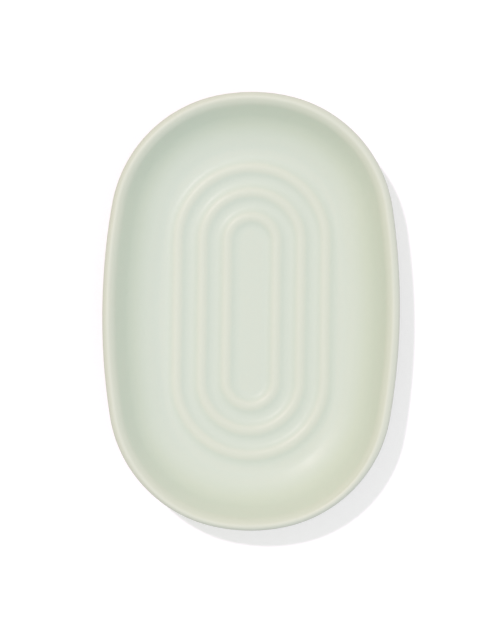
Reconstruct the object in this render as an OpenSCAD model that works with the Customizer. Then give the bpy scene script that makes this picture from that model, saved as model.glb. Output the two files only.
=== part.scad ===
// Oval ceramic soap dish with three raised drainage ridges, a bare foot ring and a glaze coat.
// X runs across the dish, Y runs along it and Z points up. The origin is on the table, under the centre.

/* [Overall size] */
// Length of the glazed dish
length = 140; // [120:1:170]
// Width of the glazed dish
width = 95; // [78:1:114]
// Height from the table to the top of the lip
height = 20; // [16:0.5:24]

/* [Outline] */
// Radius of the two rounded ends
end_radius = 54.5; // [45:0.5:66]
// Angle from the X axis at which a bowed side turns into a shoulder
side_break = 9.3; // [7:0.1:12]
// Angle from the X axis at which a shoulder turns into an end
shoulder_break = 78.2; // [64:0.2:84]

/* [Bowl and lip] */
// Distance in from the outline at which the bowl wall meets the floor
wall_run = 18; // [15:0.5:22]
// Angle from level of the straight band of the bowl wall, under the lip
wall_slope = 57; // [50:1:64]
// Distance in from the outline to the crest of the lip
lip_inset = 1.75; // [1.4:0.05:2.4]
// Radius of the crest of the lip
lip_radius = 1.2; // [0.9:0.1:1.6]
// Angle to each side of the crest at which the wider arcs of the lip's flanks begin
lip_turn = 25; // [15:1:40]
// Radius of the inner flank of the lip
lip_inner_radius = 5; // [3:0.1:7]
// Radius of the outer wall, from the lip down to the foot
outer_radius = 22; // [18:0.5:28]
// Thickness of the floor between the ridges
floor_thickness = 5.4; // [4:0.1:6.5]

/* [Drainage ridges] */
// Number of ridges round the central flat
ridge_count = 3; // [2:1:4]
// Height of a ridge above the floor
ridge_height = 1; // [0.6:0.1:2]
// Radius of a ridge's rounded crest
crest_radius = 3.3; // [2:0.1:4.2]
// Radius of the hollow where a ridge rises from the floor
root_radius = 3.7; // [2:0.1:4.5]
// Least flat width of floor between two ridges
least_gap = 0.3; // [0.2:0.05:0.8]
// Least flat margin of floor between the outer ridge and the wall
floor_margin = 0.4; // [0.4:0.1:2]

/* [Foot ring] */
// Height of the foot ring
foot_height = 2.5; // [2:0.1:3.2]
// Distance in from the outline to the outer face of the foot ring
foot_inset = 17; // [14:0.5:20]
// Width of the foot ring
foot_width = 4; // [3:0.1:6]
// Radius of the hollows where the foot ring meets the dish
foot_fillet = 1.5; // [1:0.1:1.8]
// Radius of the two bottom edges of the foot ring
foot_edge = 0.6; // [0.3:0.1:0.9]

/* [Glaze] */
// Thickness of the glaze
glaze_thickness = 0.4; // [0.2:0.05:0.6]
// Height of the bare band above the table, where the glaze is wiped off
glaze_line = 0.9; // [0.6:0.1:1.1]

/* [Hidden] */

// Roundness of the turned surfaces, and the most by which a chord of a curve may leave its arc
$fn = 180;
chord_error = 0.02;
// Width of the flat lap where a floor plate runs into the turned wall or the ridged field
lap = 0.3;
// Depth by which what lies over and under the deck, half way down the floor, runs past it
bite = 0.5;
// Step of the coarse part of a shift
shift_step = 0.01;

fired_clay = [0.86, 0.80, 0.72];
celadon_glaze = [0.85, 0.89, 0.83];
pooled_glaze = [0.80, 0.86, 0.81];

half_width = width / 2;
half_length = length / 2;

// Radii and centres of the arcs of the outline, each tangent to the next
across = half_width - end_radius * cos(shoulder_break);
along = half_length - end_radius * (1 - sin(shoulder_break));
side_cos = 1 - cos(side_break);
side_sin = sin(side_break);
turn_cos = cos(side_break) - cos(shoulder_break);
turn_sin = sin(shoulder_break) - sin(side_break);
determinant = side_cos * turn_sin - side_sin * turn_cos;
side_radius = (across * turn_sin - along * turn_cos) / determinant;
shoulder_radius = (along * side_cos - across * side_sin) / determinant;
end_centre = half_length - end_radius;
shoulder_x = (end_radius - shoulder_radius) * cos(shoulder_break);
shoulder_y = end_centre + (end_radius - shoulder_radius) * sin(shoulder_break);

// Arcs of half the outline, as centre, radius, start angle and sweep
HALF_OUTLINE = [
    [[half_width - side_radius, 0, 0], side_radius, -side_break, 2 * side_break],
    [[shoulder_x, shoulder_y, 0], shoulder_radius, side_break, shoulder_break - side_break],
    [[0, end_centre, 0], end_radius, shoulder_break, 180 - 2 * shoulder_break],
    [[-shoulder_x, shoulder_y, 0], shoulder_radius, 180 - shoulder_break, shoulder_break - side_break]
];

// Section of the dish: distance in from the outline, then height
floor_top = foot_height + floor_thickness;
deck = foot_height + floor_thickness / 2;
lip_centre = [lip_inset, height - lip_radius];
lip_inner_centre = lip_centre - (lip_inner_radius - lip_radius) * [sin(lip_turn), cos(lip_turn)];
lip_outer_radius = (lip_inset - lip_radius * sin(lip_turn)) / (1 - sin(lip_turn));
lip_outer_centre = lip_centre + (lip_outer_radius - lip_radius) * [sin(lip_turn), -cos(lip_turn)];

// The bowl curves up to a straight band, which is left out where the bowl is too shallow for its slope
bowl_run = wall_run - lip_inner_centre.x;
bowl_drop = lip_inner_centre.y + lip_inner_radius - floor_top;
wall_angle = min(wall_slope, 2 * atan2(bowl_drop, bowl_run));
wall_radii = (bowl_run * sin(wall_angle) - bowl_drop * cos(wall_angle)) / (1 - cos(wall_angle));
bowl_radius = wall_radii - lip_inner_radius;
bowl_centre = [wall_run, floor_top + bowl_radius];

lip_rise = lip_outer_centre.y - foot_height;
outer_run = sqrt((2 * outer_radius - lip_outer_radius - lip_rise) * (lip_rise - lip_outer_radius));
outer_centre = [lip_outer_radius + outer_run, foot_height + outer_radius];
lip_end = 180 + atan2(outer_centre.y - lip_outer_centre.y, outer_run);

foot_outer = foot_inset - foot_fillet;
foot_inner = foot_inset + foot_width + foot_fillet;
fillet_reach = outer_radius + foot_fillet;
fillet_across = outer_centre.x - foot_outer;
fillet_drop = sqrt(fillet_reach * fillet_reach - fillet_across * fillet_across);
outer_fillet = [foot_outer, outer_centre.y - fillet_drop];
inner_fillet = [foot_inner, foot_height - foot_fillet];
foot_turn = atan2(fillet_drop, fillet_across);

// Plan and section of the ridges; the bowed wall comes nearest to them at the ends of their spine
straight_half = half_length - half_width;
floor_side = side_radius - wall_run;
floor_bow = floor_side - sqrt(floor_side * floor_side - straight_half * straight_half);
field_radius = half_width - wall_run - floor_bow - floor_margin;
ridge_pitch = field_radius / (ridge_count + 0.5);
widest_half = (ridge_pitch - least_gap) / 2;
widest_radii = (widest_half * widest_half + ridge_height * ridge_height) / (2 * ridge_height);
// Both radii of a ridge shrink alike where the ridges stand too close for them
ridge_fit = min(1, widest_radii / (crest_radius + root_radius));
ridge_crest = crest_radius * ridge_fit;
ridge_root = root_radius * ridge_fit;
flank_angle = acos(1 - ridge_height / (ridge_crest + ridge_root));
ridge_half = (ridge_crest + ridge_root) * sin(flank_angle);
// Radius of the opening for the ridged field, half way across the flat that rims the field
field_opening = (ridge_count * ridge_pitch + ridge_half + field_radius) / 2;

// Point of an arc at one angle, and its points from angle a to angle b without the last one
function arc_point(centre, radius, turn) = centre + radius * [cos(turn), sin(turn)];
function arc(centre, radius, a, b) =
    let (steps = ceil(abs(b - a) / (2 * acos(1 - chord_error / radius))))
    [for (i = [0 : steps - 1]) arc_point(centre, radius, a + (b - a) * i / steps)];

function reversed(points) = [for (i = [len(points) - 1 : -1 : 0]) points[i]];
function mirrored(points) = [for (p = reversed(points)) [-p.x, p.y]];

// The three skins below lie a given depth under the glazed surface

// From the floor up the bowl, over the lip and down the outside to the foot ring
function upper_skin(under) = concat(
    [[wall_run + lap, floor_top - under]],
    arc(bowl_centre, bowl_radius + under, 270, 270 - wall_angle),
    [if (wall_angle == wall_slope) arc_point(bowl_centre, bowl_radius + under, 270 - wall_angle)],
    arc(lip_inner_centre, lip_inner_radius - under, 90 - wall_angle, 90 - lip_turn),
    arc(lip_centre, lip_radius - under, 90 - lip_turn, 90),
    arc(lip_centre, lip_radius - under, 90, 90 + lip_turn),
    arc(lip_outer_centre, lip_outer_radius - under, 90 + lip_turn, 180),
    arc(lip_outer_centre, lip_outer_radius - under, 180, lip_end),
    arc(outer_centre, outer_radius - under, lip_end, 180 + foot_turn),
    arc(outer_fillet, foot_fillet + under, foot_turn, 0),
    [[foot_inset + under, outer_fillet.y]]
);

// From the inner face of the foot ring to the underside of the floor
function under_skin(under) = concat(
    arc(inner_fillet, foot_fillet + under, 180, 90),
    [[foot_inner, foot_height + under], [foot_inner + lap, foot_height + under]]
);

// From the centre of the floor across every ridge
function ridge_skin(under) = concat(
    [[0, floor_top - under]],
    [for (k = [1 : ridge_count]) each one_ridge(k * ridge_pitch, under)],
    [[field_radius, floor_top - under]]
);

function one_ridge(place, under) =
    let (crest = [place, floor_top + ridge_height - ridge_crest])
    concat(
        arc([place - ridge_half, floor_top + ridge_root], ridge_root + under, 270, 270 + flank_angle),
        arc(crest, ridge_crest - under, 90 + flank_angle, 90),
        arc(crest, ridge_crest - under, 90, 90 - flank_angle),
        arc([place + ridge_half, floor_top + ridge_root], ridge_root + under, 270 - flank_angle, 270),
        [[place + ridge_half, floor_top - under]]
    );

// A long shift and then a tiny one, so that no digit of the place is lost
module shift(place) {
    coarse = [for (value = place) round(value / shift_step) * shift_step];
    translate(coarse)
        translate(place - coarse)
            children();
}

// Carries a section round the outline; its X is the distance in from the outline
module round_outline() {
    for (half = [0, 180], stretch = HALF_OUTLINE)
        shift(half == 0 ? stretch[0] : -stretch[0])
            rotate_extrude(start = stretch[2] + half, angle = stretch[3])
                shift([stretch[1], 0])
                    mirror([1, 0])
                        children();
}

// Carries a section round the ridges; its X is the distance from their spine
module round_spine(points, closing) {
    for (half = [0, 180])
        translate([0, half == 0 ? straight_half : -straight_half, 0])
            rotate_extrude(start = half, angle = 180)
                polygon(concat(points, closing));
    rotate([90, 0, 0])
        linear_extrude(2 * straight_half, center = true)
            polygon(concat(mirrored(points), points, closing, mirrored(closing)));
}

// Points of the outline a distance in from the edge, and of a racetrack round the ridges' spine
function inset_outline(inset) =
    [for (half = [1, -1], stretch = HALF_OUTLINE)
        let (centre = half * [stretch[0].x, stretch[0].y], turn = stretch[2] + (half > 0 ? 0 : 180))
        each arc(centre, stretch[1] - inset, turn, turn + stretch[3])];

function racetrack(radius) = concat(
    arc([0, straight_half], radius, 0, 180),
    arc([0, -straight_half], radius, 180, 360)
);

// Flat plate that laps onto the turned wall, with or without an opening for the ridged field
module floor_plate(inset, low, high, opening = 0) {
    translate([0, 0, low])
        linear_extrude(high - low)
            difference() {
                polygon(inset_outline(inset + lap / 2));
                if (opening > 0)
                    polygon(racetrack(opening));
            }
}

// Fired body, bare only round the bottom of the foot ring
module clay_body() {
    // Centres of the two rounded bottom edges of the foot ring
    near_edge = [foot_inset + glaze_thickness + foot_edge, foot_edge];
    far_edge = [foot_inset + foot_width - glaze_thickness - foot_edge, foot_edge];
    color(fired_clay) {
        round_outline()
            polygon(concat(
                upper_skin(glaze_thickness),
                arc(near_edge, foot_edge, 180, 270),
                [[near_edge.x, 0]],
                arc(far_edge, foot_edge, 270, 360),
                [[far_edge.x + foot_edge, foot_edge]],
                under_skin(glaze_thickness),
                [[foot_inner + lap, deck], [wall_run + lap, deck]]
            ));
        round_spine(ridge_skin(glaze_thickness), [[field_radius, deck - bite], [0, deck - bite]]);
        floor_plate(wall_run, deck - bite, floor_top - glaze_thickness, field_opening);
        floor_plate(foot_inner, foot_height + glaze_thickness, deck + bite);
    }
}

// Glaze over the floor, the bowl, the lip and the outer wall, down to the bare band
module glaze_coat() {
    color(celadon_glaze) {
        round_outline()
            polygon(concat(
                upper_skin(0),
                [[foot_inset, glaze_line], [foot_inset + glaze_thickness, glaze_line]],
                reversed(upper_skin(glaze_thickness))
            ));
        round_spine(ridge_skin(0), reversed(ridge_skin(glaze_thickness)));
        floor_plate(wall_run, floor_top - glaze_thickness, floor_top, field_opening);
    }
}

// Glaze of the shallow well inside the foot ring
module base_glaze() {
    foot_far = foot_inset + foot_width;
    color(pooled_glaze) {
        round_outline()
            polygon(concat(
                [[foot_far, glaze_line]],
                under_skin(0),
                reversed(under_skin(glaze_thickness)),
                [[foot_far - glaze_thickness, glaze_line]]
            ));
        floor_plate(foot_inner, foot_height, foot_height + glaze_thickness);
    }
}

clay_body();
glaze_coat();
base_glaze();
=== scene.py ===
# Oval celadon-glazed soap dish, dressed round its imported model. Lengths are metres, angles degrees.
import math

import bmesh
import bpy
import numpy as np
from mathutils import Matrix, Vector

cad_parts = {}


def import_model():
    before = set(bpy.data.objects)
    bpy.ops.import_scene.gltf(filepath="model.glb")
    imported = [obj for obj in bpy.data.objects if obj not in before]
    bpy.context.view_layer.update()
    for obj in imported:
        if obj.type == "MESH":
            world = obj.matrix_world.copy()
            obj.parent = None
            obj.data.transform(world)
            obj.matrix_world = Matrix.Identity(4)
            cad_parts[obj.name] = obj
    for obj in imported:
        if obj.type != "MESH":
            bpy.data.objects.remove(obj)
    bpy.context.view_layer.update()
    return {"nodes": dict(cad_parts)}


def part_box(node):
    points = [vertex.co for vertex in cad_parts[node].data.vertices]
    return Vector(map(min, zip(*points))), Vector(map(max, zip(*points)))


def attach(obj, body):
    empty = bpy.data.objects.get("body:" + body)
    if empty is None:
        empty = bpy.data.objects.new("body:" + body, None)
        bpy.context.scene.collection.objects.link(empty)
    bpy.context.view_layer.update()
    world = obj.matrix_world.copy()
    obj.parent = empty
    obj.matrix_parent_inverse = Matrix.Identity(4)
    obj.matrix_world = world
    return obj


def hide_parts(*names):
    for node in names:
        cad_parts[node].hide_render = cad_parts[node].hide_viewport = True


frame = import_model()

MM = 0.001

# Outline of the dish: its reach comes from the frame, and its arcs meet at these angles from the X axis
coat_low, coat_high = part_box("glaze_coat")
HALF_WIDTH = coat_high.x
HALF_LENGTH = coat_high.y
HEIGHT = coat_high.z
END_RADIUS = 54.5 * MM
SIDE_BREAK = 9.3
SHOULDER_BREAK = 78.2

# Section of the bowl and the lip. The lip's crest is an arc that turns by LIP_TURN to each side of its
# highest point
WALL_RUN = 18 * MM
WALL_SLOPE = 57.0
LIP_INSET = 1.75 * MM
LIP_RADIUS = 1.2 * MM
LIP_TURN = 25.0
LIP_INNER_RADIUS = 5 * MM
OUTER_RADIUS = 22 * MM
FLOOR_THICKNESS = 5.4 * MM

# Ridges of the floor, and the level margin between them and the foot of the wall at its narrowest
RIDGE_COUNT = 3
RIDGE_HEIGHT = 1 * MM
CREST_RADIUS = 3.3 * MM
ROOT_RADIUS = 3.7 * MM
FLOOR_MARGIN = 0.4 * MM

# Foot ring
FOOT_HEIGHT = 2.5 * MM
FOOT_INSET = 17 * MM
FOOT_WIDTH = 4 * MM
FOOT_FILLET = 1.5 * MM

# Glaze
GLAZE_THICKNESS = 0.4 * MM
GLAZE_LINE = coat_low.z

# How finely the pieces are meshed. A section is drawn at the fine step, then cut into rings: one for
# every spacing along it, and one more for every turn that it bends. A side that lies on the clay has
# coarser ones. Points of a section that repeat, and points of a mesh that fall together, become one
FINE_STEP = 0.05 * MM
REPEAT_DISTANCE = 0.0005 * MM
RING_SPACING = 1.1 * MM
RING_TURN = 7.0
UNDER_SPACING = 2.5 * MM
UNDER_TURN = 15.0
SIDE_POINTS = 44
SHOULDER_POINTS = 52
END_POINTS = 20
DECK_RINGS = 6
MERGE_DISTANCE = 0.001 * MM

# Softening of the section where the glaze flowed in the kiln: its reach, and how many reaches its weights
# go out to
FLOW = 0.35 * MM
RIDGE_FLOW = 0.6 * MM
FLOW_CUT = 4

# Hand-made unevenness of the surface: the height and length of its waves, and how many there are of each
# length
WAVES = [(0.05 * MM, 34 * MM), (0.03 * MM, 15 * MM), (0.012 * MM, 6 * MM)]
WAVES_PER_LENGTH = 4
WAVE_SEED = 7

# How far the crest of the hand-made lip strays inwards: its mean, then waves by their count round the
# dish, their depth and the way the outline faces where they are deepest. The stray fades out towards the
# outline over its rise, and down the wall to its foot
STRAY_MEAN = 0.07 * MM
STRAY_WAVES = [(1, 0.24 * MM, 65), (2, 0.12 * MM, 0), (5, 0.08 * MM, 60)]
STRAY_RISE = 1.4 * MM
STRAY_FOOT = 15 * MM

# Where the lip is narrower and its inner edge crisper: the way that side faces, how far round it goes to
# each side, and how far out the edge is moved there
NIP_FACING = 318
NIP_REACH = 40
NIP_DEPTH = 0.22 * MM
NIP_START = 2.2 * MM
NIP_RISE = 0.8 * MM
NIP_FOOT = 12 * MM

# Glaze that ran together at the foot of the wall: how deep, and how far in from the outline it starts, is
# deepest from and to, and ends
POOL_DEPTH = 0.45 * MM
POOL_START = 19.6 * MM
POOL_FULL = 14.2 * MM
POOL_THINS = 9 * MM
POOL_END = 3.5 * MM


def cos(angle):
    """Cosine of an angle in degrees."""
    return math.cos(math.radians(angle))


def sin(angle):
    """Sine of an angle in degrees."""
    return math.sin(math.radians(angle))


# Radii and centres of the outline's arcs, each tangent to the next
across = HALF_WIDTH - END_RADIUS * cos(SHOULDER_BREAK)
along = HALF_LENGTH - END_RADIUS * (1 - sin(SHOULDER_BREAK))
side_cos, side_sin = 1 - cos(SIDE_BREAK), sin(SIDE_BREAK)
turn_cos = cos(SIDE_BREAK) - cos(SHOULDER_BREAK)
turn_sin = sin(SHOULDER_BREAK) - sin(SIDE_BREAK)
determinant = side_cos * turn_sin - side_sin * turn_cos
side_radius = (across * turn_sin - along * turn_cos) / determinant
shoulder_radius = (along * side_cos - across * side_sin) / determinant
end_y = HALF_LENGTH - END_RADIUS
shoulder_x = (END_RADIUS - shoulder_radius) * cos(SHOULDER_BREAK)
shoulder_y = end_y + (END_RADIUS - shoulder_radius) * sin(SHOULDER_BREAK)
straight_half = HALF_LENGTH - HALF_WIDTH

# Section sizes that follow from the ones above
floor_top = FOOT_HEIGHT + FLOOR_THICKNESS
lip_inner = (LIP_INSET - (LIP_INNER_RADIUS - LIP_RADIUS) * sin(LIP_TURN),
             HEIGHT - LIP_RADIUS - (LIP_INNER_RADIUS - LIP_RADIUS) * cos(LIP_TURN))
bowl_run = WALL_RUN - lip_inner[0]
bowl_drop = lip_inner[1] + LIP_INNER_RADIUS - floor_top
radius_sum = (bowl_run * sin(WALL_SLOPE) - bowl_drop * cos(WALL_SLOPE)) / (1 - cos(WALL_SLOPE))
bowl_radius = radius_sum - LIP_INNER_RADIUS
lip_outer_radius = (LIP_INSET - LIP_RADIUS * sin(LIP_TURN)) / (1 - sin(LIP_TURN))
widest = HEIGHT - LIP_RADIUS - (lip_outer_radius - LIP_RADIUS) * cos(LIP_TURN)
lip_rise = widest - FOOT_HEIGHT
outer_run = math.sqrt((2 * OUTER_RADIUS - lip_outer_radius - lip_rise) * (lip_rise - lip_outer_radius))
outer_centre = (lip_outer_radius + outer_run, FOOT_HEIGHT + OUTER_RADIUS)
lip_end = 180 + math.degrees(math.atan2(outer_centre[1] - widest, outer_run))
foot_outer = FOOT_INSET - FOOT_FILLET
foot_inner = FOOT_INSET + FOOT_WIDTH + FOOT_FILLET
fillet_across = outer_centre[0] - foot_outer
fillet_drop = math.sqrt((OUTER_RADIUS + FOOT_FILLET) ** 2 - fillet_across ** 2)
foot_turn = math.degrees(math.atan2(fillet_drop, fillet_across))
fillet_y = outer_centre[1] - fillet_drop

floor_side = side_radius - WALL_RUN
floor_bow = floor_side - math.sqrt(floor_side ** 2 - straight_half ** 2)
field_radius = HALF_WIDTH - WALL_RUN - floor_bow - FLOOR_MARGIN
ridge_pitch = field_radius / (RIDGE_COUNT + 0.5)
flank_angle = math.degrees(math.acos(1 - RIDGE_HEIGHT / (CREST_RADIUS + ROOT_RADIUS)))
ridge_half = (CREST_RADIUS + ROOT_RADIUS) * sin(flank_angle)


def arc(centre, radius, a, b):
    """Points of an arc from angle a to angle b, at the fine step."""
    steps = max(2, math.ceil(radius * math.radians(abs(b - a)) / FINE_STEP))
    turns = np.radians(np.linspace(a, b, steps))
    return np.stack([centre[0] + radius * np.cos(turns), centre[1] + radius * np.sin(turns)], 1)


def joined(*stretches):
    """One section from several, drawn at the fine step, without repeated points."""
    points = np.concatenate([np.asarray(s, float).reshape(-1, 2) for s in stretches])
    steps = np.linalg.norm(np.diff(points, axis=0), axis=1)
    points = points[np.concatenate([[True], steps > REPEAT_DISTANCE])]
    length = np.concatenate([[0], np.cumsum(np.linalg.norm(np.diff(points, axis=0), axis=1))])
    even = np.linspace(0, length[-1], math.ceil(length[-1] / FINE_STEP))
    return np.stack([np.interp(even, length, points[:, i]) for i in (0, 1)], 1)


# Each skin lies a given depth under the glazed surface
def upper_skin(under):
    """Distance in from the outline, then height: up the bowl, over the lip and down to the foot ring."""
    return joined(
        arc((WALL_RUN, floor_top + bowl_radius), bowl_radius + under, 270, 270 - WALL_SLOPE),
        arc(lip_inner, LIP_INNER_RADIUS - under, 90 - WALL_SLOPE, 90 - LIP_TURN),
        arc((LIP_INSET, HEIGHT - LIP_RADIUS), LIP_RADIUS - under, 90 - LIP_TURN, 90 + LIP_TURN),
        arc((lip_outer_radius, widest), lip_outer_radius - under, 90 + LIP_TURN, lip_end),
        arc(outer_centre, OUTER_RADIUS - under, lip_end, 180 + foot_turn),
        arc((foot_outer, fillet_y), FOOT_FILLET + under, foot_turn, 0),
        [(FOOT_INSET + under, GLAZE_LINE)],
    )


def under_skin(under):
    """Distance in from the outline, then height: up the inside of the foot ring and onto the floor."""
    far = FOOT_INSET + FOOT_WIDTH - under
    return joined(
        [(far, GLAZE_LINE)],
        arc((foot_inner, FOOT_HEIGHT - FOOT_FILLET), FOOT_FILLET + under, 180, 90),
        [(foot_inner + UNDER_SPACING, FOOT_HEIGHT + under)],
    )


def ridge_skin(under):
    """Distance from the ridges' spine, then height: from the spine over every ridge."""
    crest_z = floor_top + RIDGE_HEIGHT - CREST_RADIUS
    stretches = [[(0, floor_top - under)]]
    for k in range(1, RIDGE_COUNT + 1):
        place = k * ridge_pitch
        root = floor_top + ROOT_RADIUS
        stretches += [
            arc((place - ridge_half, root), ROOT_RADIUS + under, 270, 270 + flank_angle),
            arc((place, crest_z), CREST_RADIUS - under, 90 + flank_angle, 90 - flank_angle),
            arc((place + ridge_half, root), ROOT_RADIUS + under, 270 - flank_angle, 270),
        ]
    return joined(*stretches, [(field_radius, floor_top - under)])


def flowed(section, reach):
    """The section softened over a reach, and how much it bends at each point, in radians per metre."""
    count = int(FLOW_CUT * reach / FINE_STEP)
    weights = np.exp(-0.5 * (np.arange(-count, count + 1) * FINE_STEP / reach) ** 2)
    weights /= weights.sum()
    first, last = section[0], section[-1]
    before = 2 * first - section[count:0:-1]
    after = 2 * last - section[-2:-count - 2:-1]
    longer = np.concatenate([before, section, after])
    soft = np.stack([np.convolve(longer[:, i], weights, "valid") for i in (0, 1)], 1)
    heading = np.unwrap(np.arctan2(np.gradient(soft[:, 1]), np.gradient(soft[:, 0])))
    return soft, np.gradient(heading) / FINE_STEP


def smooth(share):
    """From 0 to 1 without a kink at either end."""
    share = np.clip(share, 0, 1)
    return share * share * (3 - 2 * share)


def pool_height(inset):
    """Depth of the glaze pooled at the foot of the wall, by distance in from the outline."""
    risen = smooth((POOL_START - inset) / (POOL_START - POOL_FULL))
    thinned = smooth((inset - POOL_END) / (POOL_THINS - POOL_END))
    return POOL_DEPTH * np.minimum(risen, thinned)


def pooled(section):
    """Depth of the pooled glaze along a section, on its inner side only."""
    inner = np.arange(len(section)) < section[:, 1].argmax()
    return np.where(inner, pool_height(section[:, 0]), 0)


def ring_places(bend, spacing, turn):
    """Indexes of the section's points that get a ring, closer together where it bends."""
    effort = np.cumsum(1 / spacing + np.abs(bend) / math.radians(turn)) * FINE_STEP
    wanted = np.linspace(effort[0], effort[-1], math.ceil(effort[-1] - effort[0]) + 1)
    return np.unique(np.clip(np.searchsorted(effort, wanted), 0, len(bend) - 1))


def ring_points():
    """Each point of a ring: its arc's centre, radius and angle, then its place and angle on the spine."""
    arcs = [
        ((HALF_WIDTH - side_radius, 0), side_radius, -SIDE_BREAK, SIDE_BREAK, SIDE_POINTS),
        ((shoulder_x, shoulder_y), shoulder_radius, SIDE_BREAK, SHOULDER_BREAK, SHOULDER_POINTS),
        ((0, end_y), END_RADIUS, SHOULDER_BREAK, 180 - SHOULDER_BREAK, END_POINTS),
        ((-shoulder_x, shoulder_y), shoulder_radius, 180 - SHOULDER_BREAK, 180 - SIDE_BREAK,
         SHOULDER_POINTS),
    ]
    rows = []
    for half in (0, 180):
        sign = 1 if half == 0 else -1
        for centre, radius, start, end, count in arcs:
            for turn in np.linspace(start, end, count, endpoint=False):
                x = sign * centre[0] + (radius - WALL_RUN) * cos(turn + half)
                y = sign * centre[1] + (radius - WALL_RUN) * sin(turn + half)
                spine_y = min(max(y, -straight_half), straight_half)
                rows.append((sign * centre[0], sign * centre[1], radius, turn + half,
                             spine_y, math.degrees(math.atan2(y - spine_y, x))))
    return np.array(rows)


ARC_X, ARC_Y, ARC_RADIUS, ARC_TURN, SPINE_Y, SPINE_TURN = ring_points().T


def lip_stray():
    """How far the lip's crest strays inwards at each point of a ring."""
    stray = STRAY_MEAN
    for count, depth, facing in STRAY_WAVES:
        stray = stray + depth * np.cos(np.radians(count * (ARC_TURN - facing)))
    return stray


def lip_nip():
    """How far the lip's inner edge is moved out at each point of a ring."""
    return NIP_DEPTH * smooth(1 - np.abs(ARC_TURN % 360 - NIP_FACING) / NIP_REACH)


def outline_ring(inset, z):
    """Points of the outline moved in by a distance, at one height, with the lip as the hand left it."""
    strayed = smooth(inset / STRAY_RISE) * smooth((z - STRAY_FOOT) / (HEIGHT - STRAY_FOOT))
    nipped = smooth((inset - NIP_START) / NIP_RISE) * smooth((z - NIP_FOOT) / (HEIGHT - NIP_FOOT))
    reach = ARC_RADIUS - inset - strayed * lip_stray() + nipped * lip_nip()
    x = ARC_X + reach * np.cos(np.radians(ARC_TURN))
    y = ARC_Y + reach * np.sin(np.radians(ARC_TURN))
    return np.stack([x, y, np.full(len(x), z)], 1)


def spine_ring(radius, z):
    """Points of the racetrack round the spine, at one height."""
    x = radius * np.cos(np.radians(SPINE_TURN))
    y = SPINE_Y + radius * np.sin(np.radians(SPINE_TURN))
    return np.stack([x, y, np.full(len(x), z)], 1)


def rings_of(section, ring, reach, spacing, turn):
    """Rings along a section softened over a reach, and how much the surface bulges at each."""
    soft, bend = flowed(section, reach)
    bulge = bend if ring is outline_ring else -bend
    return [(ring(*soft[i]), bulge[i]) for i in ring_places(bend, spacing, turn)]


def wall_rings(section):
    """Rings of a glazed side that follows the outline, with the pooled glaze on it."""
    raised = section + np.stack([np.zeros(len(section)), pooled(section)], 1)
    return rings_of(raised, outline_ring, FLOW, RING_SPACING, RING_TURN)


def hidden_rings(section, ring):
    """Rings of a side that lies on the clay, as crisp as the clay is."""
    return rings_of(section, ring, FINE_STEP, UNDER_SPACING, UNDER_TURN)


def waviness(points):
    """Smooth unevenness of a hand-finished surface, from 0 to the sum of its waves' heights."""
    random = np.random.default_rng(WAVE_SEED)
    sunk = np.zeros(len(points))
    for height, length in WAVES:
        for _ in range(WAVES_PER_LENGTH):
            direction = random.normal(size=3)
            direction *= 2 * math.pi / length / np.linalg.norm(direction)
            wave = np.sin(points @ direction + random.uniform(0, 2 * math.pi))
            sunk += height / WAVES_PER_LENGTH * (0.5 + 0.5 * wave)
    return sunk


def shell(name, rings, uneven=False):
    """A closed piece from rings that end on the spine, with its bulge in radians per millimetre."""
    count = len(ARC_TURN)
    points = np.concatenate([ring for ring, _ in rings])
    bulges = np.repeat([bulge for _, bulge in rings], count)
    faces = []
    for level in range(len(rings) - 1):
        here, below = level * count, (level + 1) * count
        for i in range(count):
            j = (i + 1) % count
            faces.append((here + i, here + j, below + j, below + i))
    mesh = bpy.data.meshes.new(name)
    mesh.from_pydata(points.tolist(), [], faces)
    attribute = mesh.attributes.new("bulge", "FLOAT", "POINT")
    attribute.data.foreach_set("value", (bulges * MM).astype(np.float32))
    clean(mesh)
    if uneven:
        roughen(mesh)
    mesh.shade_smooth()
    piece = bpy.data.objects.new(name, mesh)
    bpy.context.scene.collection.objects.link(piece)
    return piece


def clean(mesh):
    """Joins the points that fall together on the spine and turns every face outwards."""
    work = bmesh.new()
    work.from_mesh(mesh)
    bmesh.ops.remove_doubles(work, verts=work.verts, dist=MERGE_DISTANCE)
    bmesh.ops.recalc_face_normals(work, faces=work.faces)
    work.to_mesh(mesh)
    work.free()


def roughen(mesh):
    """Sinks the surface unevenly along its normals, and never raises it."""
    points = np.array([v.co for v in mesh.vertices])
    normals = np.array([v.normal for v in mesh.vertices])
    sunk = points - normals * waviness(points)[:, None]
    mesh.vertices.foreach_set("co", sunk.astype(np.float32).ravel())
    mesh.update()


def field_rings():
    """Rings over the ridges and over the level strip from them to the wall, raised by the pooled glaze."""
    rings = rings_of(ridge_skin(0), spine_ring, RIDGE_FLOW, RING_SPACING, RING_TURN)
    edge = rings[-1][0]
    wall_foot = outline_ring(WALL_RUN, floor_top)
    for share in np.linspace(0, 1, DECK_RINGS + 1, endpoint=False)[1:]:
        rings.append((edge * (1 - share) + wall_foot * share, 0))
    for ring, _ in rings:
        inset = ARC_RADIUS - np.hypot(ring[:, 0] - ARC_X, ring[:, 1] - ARC_Y)
        ring[:, 2] += pool_height(inset)
    return rings


def glaze_coat():
    """Glaze over the floor, ridges, bowl, lip and outer wall, as a closed skin."""
    shown = field_rings() + wall_rings(upper_skin(0))
    hidden = hidden_rings(ridge_skin(GLAZE_THICKNESS), spine_ring)
    hidden += hidden_rings(upper_skin(GLAZE_THICKNESS), outline_ring)
    return shell("glaze_over_dish", shown + hidden[::-1], uneven=True)


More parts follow.
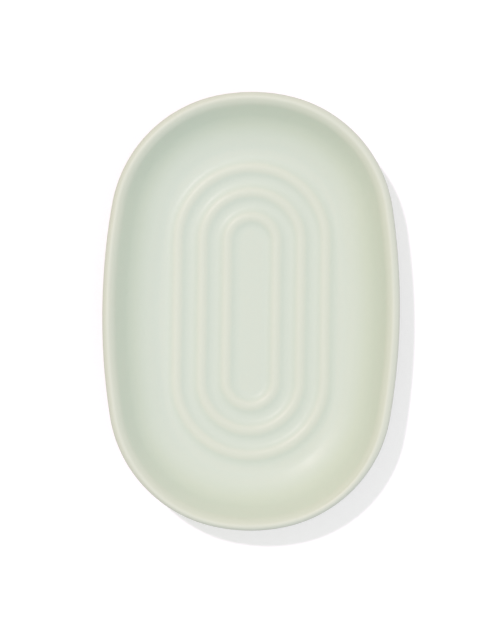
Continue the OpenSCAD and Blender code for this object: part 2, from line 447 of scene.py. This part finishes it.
def base_glaze():
    """Glaze of the well inside the foot ring, as a closed skin."""
    shown = wall_rings(under_skin(0))
    shown.append((spine_ring(0, FOOT_HEIGHT), 0))
    hidden = hidden_rings(under_skin(GLAZE_THICKNESS), outline_ring)
    hidden.append((spine_ring(0, FOOT_HEIGHT + GLAZE_THICKNESS), 0))
    return shell("glaze_under_dish", shown[::-1] + hidden)


def add(tree, kind, inputs=None, **settings):
    """A node of a kind, with its settings, and its inputs as values or as links to other nodes' sockets."""
    node = tree.nodes.new(kind)
    for name, value in settings.items():
        setattr(node, name, value)
    for name, value in (inputs or {}).items():
        if isinstance(value, bpy.types.NodeSocket):
            tree.links.new(value, node.inputs[name])
        else:
            node.inputs[name].default_value = value
    return node


def ranged(tree, value, low, high, to_low=0, to_high=1):
    """A value carried from one range to another, clamped."""
    node = add(tree, "ShaderNodeMapRange", {"Value": value, "From Min": low, "From Max": high,
                                            "To Min": to_low, "To Max": to_high}, clamp=True)
    return node.outputs["Result"]


def total(tree, a, b):
    """Sum of two values."""
    return add(tree, "ShaderNodeMath", {0: a, 1: b}, operation="ADD").outputs[0]


def mixed(tree, factor, a, b):
    """Colour between two others, each a value or another node's socket."""
    node = add(tree, "ShaderNodeMix", {"Factor": factor}, data_type="RGBA")
    for name, value in (("A", a), ("B", b)):
        socket = [s for s in node.inputs if s.name == name and s.type == "RGBA"][0]
        if isinstance(value, bpy.types.NodeSocket):
            tree.links.new(value, socket)
        else:
            socket.default_value = (*value, 1)
    return [s for s in node.outputs if s.type == "RGBA"][0]


def noise(tree, place, size, detail=2, roughness=0.5):
    """Noise with blotches of about the given size."""
    node = add(tree, "ShaderNodeTexNoise", {"Vector": place, "Scale": 1 / size, "Detail": detail,
                                            "Roughness": roughness})
    return node.outputs["Fac"]


def material(name):
    """An empty material: itself, its nodes, its output and the place on the object."""
    made = bpy.data.materials.new(name)
    made.use_nodes = True
    tree = made.node_tree
    tree.nodes.clear()
    out = add(tree, "ShaderNodeOutputMaterial")
    place = add(tree, "ShaderNodeTexCoord").outputs["Object"]
    return made, tree, out, place


def finish_surface(tree, out, colour, roughness, relief, depth, constants=None):
    """Joins colour, roughness and relief in one surface shader, with its constants set on it."""
    bump = add(tree, "ShaderNodeBump", {"Height": relief, "Strength": 1.0, "Distance": depth})
    shader = add(tree, "ShaderNodeBsdfPrincipled",
                 {"Base Color": colour, "Roughness": roughness, "Normal": bump.outputs["Normal"]})
    for name, value in (constants or {}).items():
        shader.inputs[name].default_value = value
    tree.links.new(shader.outputs[0], out.inputs["Surface"])


# Range in which most of a noise's values lie
NOISE_RANGE = (0.3, 0.7)

# Colours of the glaze where it has run together, on the walls, over the ridges, over the rim and on its
# thinnest edges
POOLED = (0.648, 0.708, 0.634)
WALL = (0.659, 0.711, 0.603)
RAISED = (0.690, 0.722, 0.635)
RIM = (0.693, 0.707, 0.607)
THINNED = (0.715, 0.731, 0.643)

# Heights over which the wall's tone and then the rim's come in, and the bulges, in radians per
# millimetre, over which the tones of raised and of thinned glaze do. The mottle breaks up the edges of
# the last two
WALL_TONE = (floor_top, floor_top + 3 * MM)
RIM_TONE = (floor_top + 6 * MM, floor_top + 8 * MM)
RAISED_BULGE = (-0.08, 0.26)
THINNED_BULGE = (0.35, 0.8)
EDGE_BREAK = 0.04

# Blotches of the glaze from large to small, how much colour the drift and the grain bring, and the range
# of the grain that shows
DRIFT_SIZE = 22 * MM
MOTTLE_SIZE = 3.5 * MM
GRAIN_SIZE = 0.5 * MM
DRIFT_SHARE = 0.2
GRAIN_RANGE = (0.35, 0.75)
GRAIN_SHARE = 0.12

# Gloss of the glaze: its roughness and its slight relief follow the mottle and the grain together
BLOTCH_SUM = (0.7, 1.3)
GLAZE_ROUGHNESS = (0.48, 0.58)
GRAIN_RELIEF = 0.35
GLAZE_RELIEF = 0.02 * MM
GLAZE_GLOSS = {"Specular IOR Level": 0.35, "Coat Weight": 0.09, "Coat Roughness": 0.27}

# Bare fired clay: a colour with darker clouds and scattered specks, over a gritty surface
BARE_CLAY = (0.640, 0.520, 0.390)
CLAY_SPECK = (0.330, 0.220, 0.140)
CLOUD_SHADE = 0.85
CLOUD_SHARE = 0.5
CLOUD_SIZE = 7 * MM
SPECK_SIZE = 0.8 * MM
SPECK_RANGE = (0.68, 0.76)
SPECK_SHARE = 0.7
GRIT_SIZE = 0.35 * MM
CLAY_ROUGHNESS = (0.8, 0.95)
CLAY_RELIEF = 0.08 * MM


def glaze_colour(tree, place, mottle, grain):
    """Tones of the glaze by height and by bulge, with its drift and grain."""
    bulge = add(tree, "ShaderNodeAttribute", attribute_name="bulge", attribute_type="GEOMETRY")
    height = add(tree, "ShaderNodeSeparateXYZ", {0: place}).outputs["Z"]
    drift = noise(tree, place, DRIFT_SIZE)
    edge = total(tree, bulge.outputs["Fac"], ranged(tree, mottle, *NOISE_RANGE, -EDGE_BREAK, EDGE_BREAK))
    tone = mixed(tree, ranged(tree, height, *WALL_TONE), POOLED, WALL)
    raised = mixed(tree, ranged(tree, height, *RIM_TONE), RAISED, RIM)
    tone = mixed(tree, ranged(tree, edge, *RAISED_BULGE), tone, raised)
    tone = mixed(tree, ranged(tree, edge, *THINNED_BULGE), tone, THINNED)
    tone = mixed(tree, ranged(tree, drift, *NOISE_RANGE, 0, DRIFT_SHARE), tone, POOLED)
    return mixed(tree, ranged(tree, grain, *GRAIN_RANGE, 0, GRAIN_SHARE), tone, THINNED)


def glaze_material():
    """Pale celadon glaze with a soft gloss."""
    made, tree, out, place = material("celadon_glaze")
    mottle = noise(tree, place, MOTTLE_SIZE, detail=3)
    grain = noise(tree, place, GRAIN_SIZE)
    colour = glaze_colour(tree, place, mottle, grain)
    rough = ranged(tree, total(tree, mottle, grain), *BLOTCH_SUM, *GLAZE_ROUGHNESS)
    relief = total(tree, mottle, ranged(tree, grain, 0, 1, 0, GRAIN_RELIEF))
    finish_surface(tree, out, colour, rough, relief, GLAZE_RELIEF, GLAZE_GLOSS)
    return made


def clay_material():
    """Bare fired clay, dull and speckled."""
    made, tree, out, place = material("fired_clay")
    cloud = ranged(tree, noise(tree, place, CLOUD_SIZE, detail=4), *NOISE_RANGE, 0, CLOUD_SHARE)
    speck = ranged(tree, noise(tree, place, SPECK_SIZE, detail=0), *SPECK_RANGE, 0, SPECK_SHARE)
    grit = noise(tree, place, GRIT_SIZE, detail=3, roughness=0.65)
    body = mixed(tree, cloud, BARE_CLAY, tuple(CLOUD_SHADE * c for c in BARE_CLAY))
    colour = mixed(tree, speck, body, CLAY_SPECK)
    rough = ranged(tree, grit, *NOISE_RANGE, *CLAY_ROUGHNESS)
    finish_surface(tree, out, colour, rough, grit, CLAY_RELIEF)
    return made


def dress():
    """Glaze pieces in place of the plain ones, and a surface for the bare clay."""
    glaze = glaze_material()
    for piece, node in ((glaze_coat(), "glaze_coat"), (base_glaze(), "base_glaze")):
        piece.data.materials.append(glaze)
        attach(piece, "root")
        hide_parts(node)
    clay = frame["nodes"]["clay_body"]
    clay.data.materials.clear()
    clay.data.materials.append(clay_material())


# Studio: how bright the lamp makes level white ground, its colour, where it stands and how large it
# looks, then the soft light from all round in red, green and blue, with the way in which each grows
# stronger, and the floor
LAMP_LEVEL = 0.40
LAMP_COLOUR = (1.095, 0.9025, 0.995)
LAMP_ZENITH = 25.5
LAMP_TURN = 132.5
LAMP_SIZE = 2.8
SKY_LEVELS = (0.461, 0.523, 0.469)
SKY_LEANS = ((0.181, -0.087, 0.200), (0.181, -0.092, 0.200), (0.279, -0.164, 0.200))
FLOOR_REACH = 4.0
FLOOR_GLOW = (0.460, 0.454, 0.427)
FLOOR_COLOUR = (0.66, 0.62, 0.69)


def seen_by_eye(tree):
    """1 for what the camera sees itself or in a reflection, and 0 for light that lands on the object."""
    path = add(tree, "ShaderNodeLightPath").outputs
    seen = path["Is Camera Ray"]
    for name in ("Is Glossy Ray", "Is Transmission Ray"):
        seen = add(tree, "ShaderNodeMath", {0: seen, 1: path[name]}, operation="MAXIMUM").outputs[0]
    return seen


def world():
    """Soft light on the object from all round, and a white surrounding for the eye."""
    made = bpy.data.worlds.new("studio")
    made.use_nodes = True
    tree = made.node_tree
    tree.nodes.clear()
    way = add(tree, "ShaderNodeTexCoord").outputs["Generated"]
    levels = {}
    for channel, level, lean in zip(("Red", "Green", "Blue"), SKY_LEVELS, SKY_LEANS):
        grown = add(tree, "ShaderNodeVectorMath", {0: way, 1: lean}, operation="DOT_PRODUCT")
        levels[channel] = total(tree, grown.outputs["Value"], level)
    colour = add(tree, "ShaderNodeCombineColor", levels).outputs["Color"]
    light = add(tree, "ShaderNodeBackground", {"Color": colour, "Strength": 1.0})
    white = add(tree, "ShaderNodeBackground", {"Color": (1, 1, 1, 1), "Strength": 1.0})
    both = add(tree, "ShaderNodeMixShader",
               {0: seen_by_eye(tree), 1: light.outputs[0], 2: white.outputs[0]})
    out = add(tree, "ShaderNodeOutputWorld")
    tree.links.new(both.outputs[0], out.inputs["Surface"])
    bpy.context.scene.world = made


def lamp():
    """Small, hard lamp from the upper left."""
    light = bpy.data.lights.new("key", "SUN")
    light.energy = LAMP_LEVEL * math.pi / cos(LAMP_ZENITH)
    light.color = LAMP_COLOUR
    light.angle = math.radians(LAMP_SIZE)
    made = bpy.data.objects.new("key", light)
    made.rotation_euler = (0, math.radians(LAMP_ZENITH), math.radians(LAMP_TURN))
    bpy.context.scene.collection.objects.link(made)


def floor():
    """Pale floor that shows white in the light and keeps the dish's shadow."""
    mesh = bpy.data.meshes.new("floor")
    corners = [(x * FLOOR_REACH, y * FLOOR_REACH, 0) for x, y in ((-1, -1), (1, -1), (1, 1), (-1, 1))]
    mesh.from_pydata(corners, [], [(0, 1, 2, 3)])
    made, tree, out, _ = material("floor")
    paper = add(tree, "ShaderNodeBsdfDiffuse", {"Color": (*FLOOR_COLOUR, 1)})
    glow = add(tree, "ShaderNodeEmission", {"Color": (*FLOOR_GLOW, 1), "Strength": 1.0})
    bright = add(tree, "ShaderNodeAddShader", {0: paper.outputs[0], 1: glow.outputs[0]})
    both = add(tree, "ShaderNodeMixShader",
               {0: seen_by_eye(tree), 1: paper.outputs[0], 2: bright.outputs[0]})
    tree.links.new(both.outputs[0], out.inputs["Surface"])
    mesh.materials.append(made)
    plane = bpy.data.objects.new("floor", mesh)
    bpy.context.scene.collection.objects.link(plane)


# Camera over the dish: the photograph's frame, its scale at the height of the lip's widest line, and the
# dish's place and tilt in it
FRAME_HEIGHT_PX = 625
FRAME_CENTRE_PX = (250.0, 312.5)
DISH_CENTRE_PX = (251.08, 311.23)
PX_PER_METRE = 3139
DISH_TILT = 0.66
CAMERA_DISTANCE = 0.9
LENS = 80


def camera():
    """Camera that looks straight down, turned so that the dish is tilted in its frame."""
    data = bpy.data.cameras.new("camera")
    data.sensor_fit = "AUTO"
    data.lens = LENS
    data.sensor_width = LENS * FRAME_HEIGHT_PX / PX_PER_METRE / CAMERA_DISTANCE
    made = bpy.data.objects.new("camera", data)
    right = (FRAME_CENTRE_PX[0] - DISH_CENTRE_PX[0]) / PX_PER_METRE
    up = (DISH_CENTRE_PX[1] - FRAME_CENTRE_PX[1]) / PX_PER_METRE
    made.location = (right * cos(DISH_TILT) - up * sin(DISH_TILT),
                     right * sin(DISH_TILT) + up * cos(DISH_TILT), widest + CAMERA_DISTANCE)
    made.rotation_euler = (0, 0, math.radians(DISH_TILT))
    bpy.context.scene.collection.objects.link(made)
    bpy.context.scene.camera = made


dress()
world()
lamp()
floor()
camera()
bpy.context.scene.view_settings.view_transform = "Standard"
